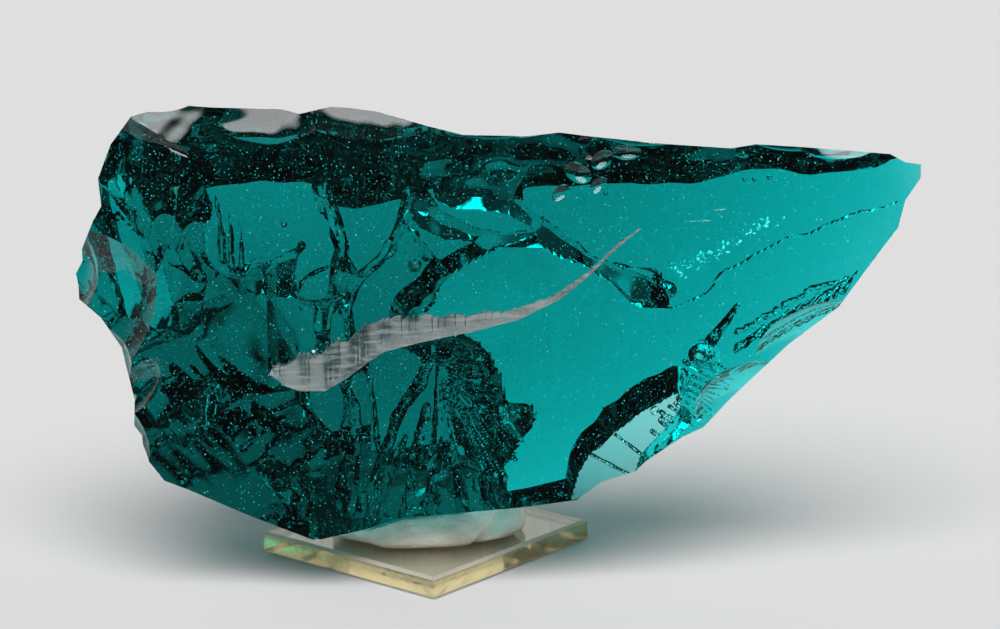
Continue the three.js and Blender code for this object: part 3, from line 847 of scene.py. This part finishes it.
# The plate's bevels look this steeply up or down, give or take, and let this much light through.
BEVEL_UP = math.sqrt(0.5)
BEVEL_MARGIN = 0.2
BEVEL_CLEAR = 0.72


def plate_material():
    """Clear acrylic that has yellowed a little, with faint scratches and whitish cut bevels."""
    material, tree, shader, output = node_material("clear_acrylic")
    shader.inputs["Base Color"].default_value = (1, 0.97, 0.86, 1)
    shader.inputs["IOR"].default_value = 1.49
    geometry = tree.nodes.new("ShaderNodeNewGeometry")
    split = tree.nodes.new("ShaderNodeSeparateXYZ")
    tree.links.new(geometry.outputs["True Normal"], split.inputs[0])
    upright = maths_node(tree, "ABSOLUTE", split.outputs["Z"])
    bevel = maths_node(tree, "COMPARE", upright, BEVEL_UP, BEVEL_MARGIN)
    tree.links.new(ramp_node(tree, bevel, 0, 1, 1.0, BEVEL_CLEAR), shader.inputs["Transmission Weight"])
    scratches = noise_node(tree, 1.2, 5, stretch=(1, 0.08, 1), turn=(0, 0, 35))
    tree.links.new(ramp_node(tree, scratches, 0.4, 0.75, 0.0, 0.22), shader.inputs["Roughness"])
    add_absorption(tree, output, (0.9, 0.82, 0.5), 38.0)
    return material


# Putty: the middle of the lump, its foot, a crease across it as (x, z) from and to, and its width.
PUTTY_MIDDLE = (0.4, -1.5)
PUTTY_FOOT = 3.9
CREASE = ((9.0, 4.0), (14.5, 9.5))
CREASE_WIDE = 0.7
# How deep the crease, the rounding of the foot, and the wide and fine dents go.
CREASE_DEEP = 1.1
FOOT_DEEP = 0.7
WIDE_DENT = 0.35
FINE_DENT = 0.08
# How far up the foot is rounded, and how near the middle the pressing fades out.
FOOT_TALL = 1.2
PRESSED_FROM = 8
PUTTY_VOXEL = 0.45


def fine_copy(name, node):
    """A copy of a CAD node's mesh, made again of small even faces."""
    lump = bpy.data.objects.new(name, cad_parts[node].data.copy())
    bpy.context.scene.collection.objects.link(lump)
    remesh = lump.modifiers.new("fine", "REMESH")
    remesh.mode = "VOXEL"
    remesh.voxel_size = PUTTY_VOXEL * MM
    graph = bpy.context.evaluated_depsgraph_get()
    lump.data = bpy.data.meshes.new_from_object(lump.evaluated_get(graph))
    lump.modifiers.clear()
    return lump


def crease_share(points):
    """How much of the crease's depth each point of the putty has: all of it along its line."""
    start, end = np.array(CREASE[0]), np.array(CREASE[1])
    way = (end - start) / np.linalg.norm(end - start)
    to = points[:, [0, 2]] - start
    off_line = np.abs(to[:, 0] * way[1] - to[:, 1] * way[0])
    return np.exp(-(off_line / CREASE_WIDE) ** 2) * (points[:, 1] < PUTTY_MIDDLE[1])


def putty_lump():
    """The lump of putty, finer than its solid: pressed in by fingers, creased, its foot rounded."""
    lump = fine_copy("putty_lump", "putty")
    points = np.array([v.co[:] for v in lump.data.vertices]) / MM
    out = points[:, :2] - PUTTY_MIDDLE
    reach = np.linalg.norm(out, axis=1)[:, None] + 1e-6
    foot = np.clip(1 - (points[:, 2] - PUTTY_FOOT) / FOOT_TALL, 0, 1) ** 2
    dents = WIDE_DENT * (1 + swell(points, 9, 700)).clip(0, 2)
    dents = dents + FINE_DENT * (1 + swell(points, 2.5, 701)).clip(0, 2)
    inset = (CREASE_DEEP * crease_share(points) + FOOT_DEEP * foot + dents)[:, None]
    share = np.clip(reach / PRESSED_FROM, 0, 1)
    points[:, :2] -= out / reach * inset * share
    lump.data.vertices.foreach_set("co", (points * MM).ravel())
    lump.data.shade_smooth()
    lump.data.materials.clear()
    lump.data.materials.append(putty_material())
    return lump


# Gas bubbles: the fine ones by chance, and the ones that show, as (x, y, z) and radius.
FINE_BUBBLES = 8500
FINE_RADIUS = (0.055, 0.15)
SHOWN_BUBBLES = [
    ((-0.4, -9.4, 49.9), 1.15), ((-21.1, -7.6, 56.5), 0.55), ((-16.8, -12, 36.2), 0.8),
    ((-32.3, -11, 39.1), 0.45), ((52.1, -4.5, 61.7), 0.35), ((53.7, -4.3, 61.7), 0.4),
    ((56.1, -4, 61.9), 0.45), ((-25, -2, 70), 0.5), ((8, -2, 64), 0.45), ((30, -5, 60), 0.4),
]
# How finely the balls are divided, fine ones and shown ones (1 gives 20 triangles), and the least
# gap between a fine one's middle and the surface, in radii.
FINE_STEPS, SHOWN_STEPS = 1, 3
BUBBLE_GAP = 3
# How strongly the fine bubbles and the crumbs glow, though they are no lamp: a painted glint in place of
# the light that they catch.
FINE_PAINTED_GLINT = 0.27
CRUMB_PAINTED_GLINT = 0.5

# Crumbs along the crack inside the right half: from and to, how far they scatter, and how many.
# They crowd towards the near end.
CRUMBS_FROM, CRUMBS_TO = (41.5, -4.5, 47), (57, -2.5, 55)
CRUMB_SCATTER = (0.8, 1.0, 0.5)
CRUMB_RADII = (0.42, 0.05, 0.2)
CRUMB_CROWDING = 1.6
CRUMBS = 90


def crossings(tree, at):
    """How often a line from the point to the front crosses the surface."""
    way = Vector((0.1, -1, 0.07))
    start, count = Vector(at), 0
    while True:
        hit = tree.ray_cast(start, way)[0]
        if not hit:
            return count
        count += 1
        start = hit + way * 1e-6


def bubble_places(glass):
    """Where each bubble is and its radius, in metres, and how finely it is made."""
    tree = BVHTree.FromObject(glass, bpy.context.evaluated_depsgraph_get())
    corners = np.array([v.co[:] for v in glass.data.vertices])
    low, high = corners.min(axis=0), corners.max(axis=0)
    places = [(np.array(at) * MM, radius * MM, SHOWN_STEPS) for at, radius in SHOWN_BUBBLES]
    while len(places) < FINE_BUBBLES + len(SHOWN_BUBBLES):
        at = rng.uniform(low, high)
        radius = FINE_RADIUS[0] + (FINE_RADIUS[1] - FINE_RADIUS[0]) * rng.uniform() ** 2
        gap = tree.find_nearest(Vector(at))[3]
        if gap > BUBBLE_GAP * radius * MM and crossings(tree, at) % 2:
            places.append((at, radius * MM, FINE_STEPS))
    return places


def crumb(points):
    """One thin crumb of air by chance along the crack, from the points of a ball."""
    share = rng.uniform() ** CRUMB_CROWDING
    at = np.array(CRUMBS_FROM) * (1 - share) + np.array(CRUMBS_TO) * share
    at = at + rng.normal(size=3) * CRUMB_SCATTER
    radii = np.array(CRUMB_RADII) * rng.uniform(0.4, 1.3)
    return aimed(points * radii, at, rng.normal(size=3)) * MM


def bubbles(glass):
    """Small hollows in the glass: their faces look inwards, because the glass is outside them."""
    shapes = {steps: ball(steps) for steps in (FINE_STEPS, SHOWN_STEPS)}
    made = []
    for at, radius, steps in bubble_places(glass):
        points, triangles = shapes[steps]
        made.append((points * radius + at, triangles, int(steps == SHOWN_STEPS)))
    points, triangles = shapes[FINE_STEPS]
    for _ in range(CRUMBS):
        made.append((crumb(points), triangles, 2))
    verts, faces, kinds, count = [], [], [], 0
    for points, triangles, kind in made:
        verts.append(points)
        faces.append(triangles[:, ::-1] + count)
        kinds += [kind] * len(triangles)
        count += len(points)
    thing = mesh_object("bubbles", np.vstack(verts) / MM, np.vstack(faces).tolist())
    thing.data.shade_smooth()
    # The fine bubbles and the crumbs get a painted glint, a glow in place of caught light. The shown
    # bubbles get none.
    thing.data.materials.append(bubble_material("fine_bubble_wall_painted_glint", FINE_PAINTED_GLINT))
    thing.data.materials.append(bubble_material("bubble_wall", 0.0))
    thing.data.materials.append(bubble_material("crumb", CRUMB_PAINTED_GLINT))
    thing.data.polygons.foreach_set("material_index", np.array(kinds, dtype=np.int32))
    return thing


# Studio: the lamp's direction, its soft and full half angles, its strength, and the backdrop's.
LAMP_WAY = (0, -0.45, 0.9)
LAMP_ANGLES = (32, 24)
LAMP_POWER = 7.0
BACKDROP = 0.77
# The room, as from and to along an axis and the value at each: its strength from the front to the
# back, and the share of that which is left from low to high.
SIDES = (-0.2, 0.35, 0.05, 0.87)
CEILING = (0.55, 0.85, 1.0, 0.12)

# Floor: half its width, how far it is under the plate, its grey and its roughness.
FLOOR_HALF = 3000
FLOOR_DROP = 0.1
FLOOR_GREY = 0.44
FLOOR_ROUGH = 0.9

# Camera: fitted to the corners of the plate.
VIEW_DISTANCE = 452
VIEW_UP = math.radians(13.5)
VIEW_ROLL = math.radians(-1.07)
VIEW_TARGET = Vector((12.9, 0, 39.3))


def make_camera():
    """The camera, a little above the shard and looking down on it."""
    data = bpy.data.cameras.new("camera")
    data.lens = 100
    data.sensor_width = 36
    data.clip_start = 0.01
    camera = bpy.data.objects.new("camera", data)
    bpy.context.scene.collection.objects.link(camera)
    back = Vector((0, -math.cos(VIEW_UP), math.sin(VIEW_UP)))
    place = (VIEW_TARGET + back * VIEW_DISTANCE) * MM
    tilt = Matrix.Rotation(math.pi / 2 - VIEW_UP, 4, "X") @ Matrix.Rotation(VIEW_ROLL, 4, "Z")
    camera.matrix_world = Matrix.Translation(place) @ tilt
    bpy.context.scene.camera = camera


def make_world():
    """A pale backdrop, a dim room in front and above, and one wide soft lamp high in front."""
    world = bpy.data.worlds.new("studio")
    bpy.context.scene.world = world
    world.use_nodes = True
    tree = world.node_tree
    background = tree.nodes["Background"]
    background.inputs["Color"].default_value = (1, 1, 1, 1)
    coords = tree.nodes.new("ShaderNodeTexCoord")
    split = tree.nodes.new("ShaderNodeSeparateXYZ")
    tree.links.new(coords.outputs["Generated"], split.inputs[0])
    sides = ramp_node(tree, split.outputs["Y"], *SIDES, smooth=True)
    ceiling = ramp_node(tree, split.outputs["Z"], *CEILING, smooth=True)
    backdrop = maths_node(tree, "MULTIPLY", sides, ceiling)
    lamp_way = tree.nodes.new("ShaderNodeVectorMath")
    lamp_way.operation = "DOT_PRODUCT"
    tree.links.new(coords.outputs["Generated"], lamp_way.inputs[0])
    lamp_way.inputs[1].default_value = Vector(LAMP_WAY).normalized()
    soft, full = (math.cos(math.radians(angle)) for angle in LAMP_ANGLES)
    lamp = ramp_node(tree, lamp_way.outputs["Value"], soft, full, 0, LAMP_POWER, smooth=True)
    room = maths_node(tree, "ADD", backdrop, lamp)
    path = tree.nodes.new("ShaderNodeLightPath")
    seen = tree.nodes.new("ShaderNodeMix")
    tree.links.new(path.outputs["Is Camera Ray"], seen.inputs["Factor"])
    tree.links.new(room, seen.inputs["A"])
    seen.inputs["B"].default_value = BACKDROP
    tree.links.new(seen.outputs["Result"], background.inputs["Strength"])


def make_floor():
    """The plain pale floor."""
    corners = ((-1, -1), (1, -1), (1, 1), (-1, 1))
    verts = [(x * FLOOR_HALF, y * FLOOR_HALF, -FLOOR_DROP) for x, y in corners]
    floor = mesh_object("floor", verts, [(0, 1, 2, 3)])
    material, _, shader, _ = node_material("floor")
    shader.inputs["Base Color"].default_value = (FLOOR_GREY, FLOOR_GREY, FLOOR_GREY, 1)
    shader.inputs["Roughness"].default_value = FLOOR_ROUGH
    floor.data.materials.append(material)


make_camera()
make_world()
make_floor()
glass = shard()
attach(glass, "root")
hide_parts("andara_glass")
specks = bubbles(glass)
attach(specks, "root")

lump = putty_lump()
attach(lump, "root")
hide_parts("putty")
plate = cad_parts["base"]
plate.data.materials.clear()
plate.data.materials.append(plate_material())

scene = bpy.context.scene
scene.view_settings.view_transform = "Standard"
scene.cycles.max_bounces = 40
scene.cycles.transmission_bounces = 40
scene.cycles.glossy_bounces = 12
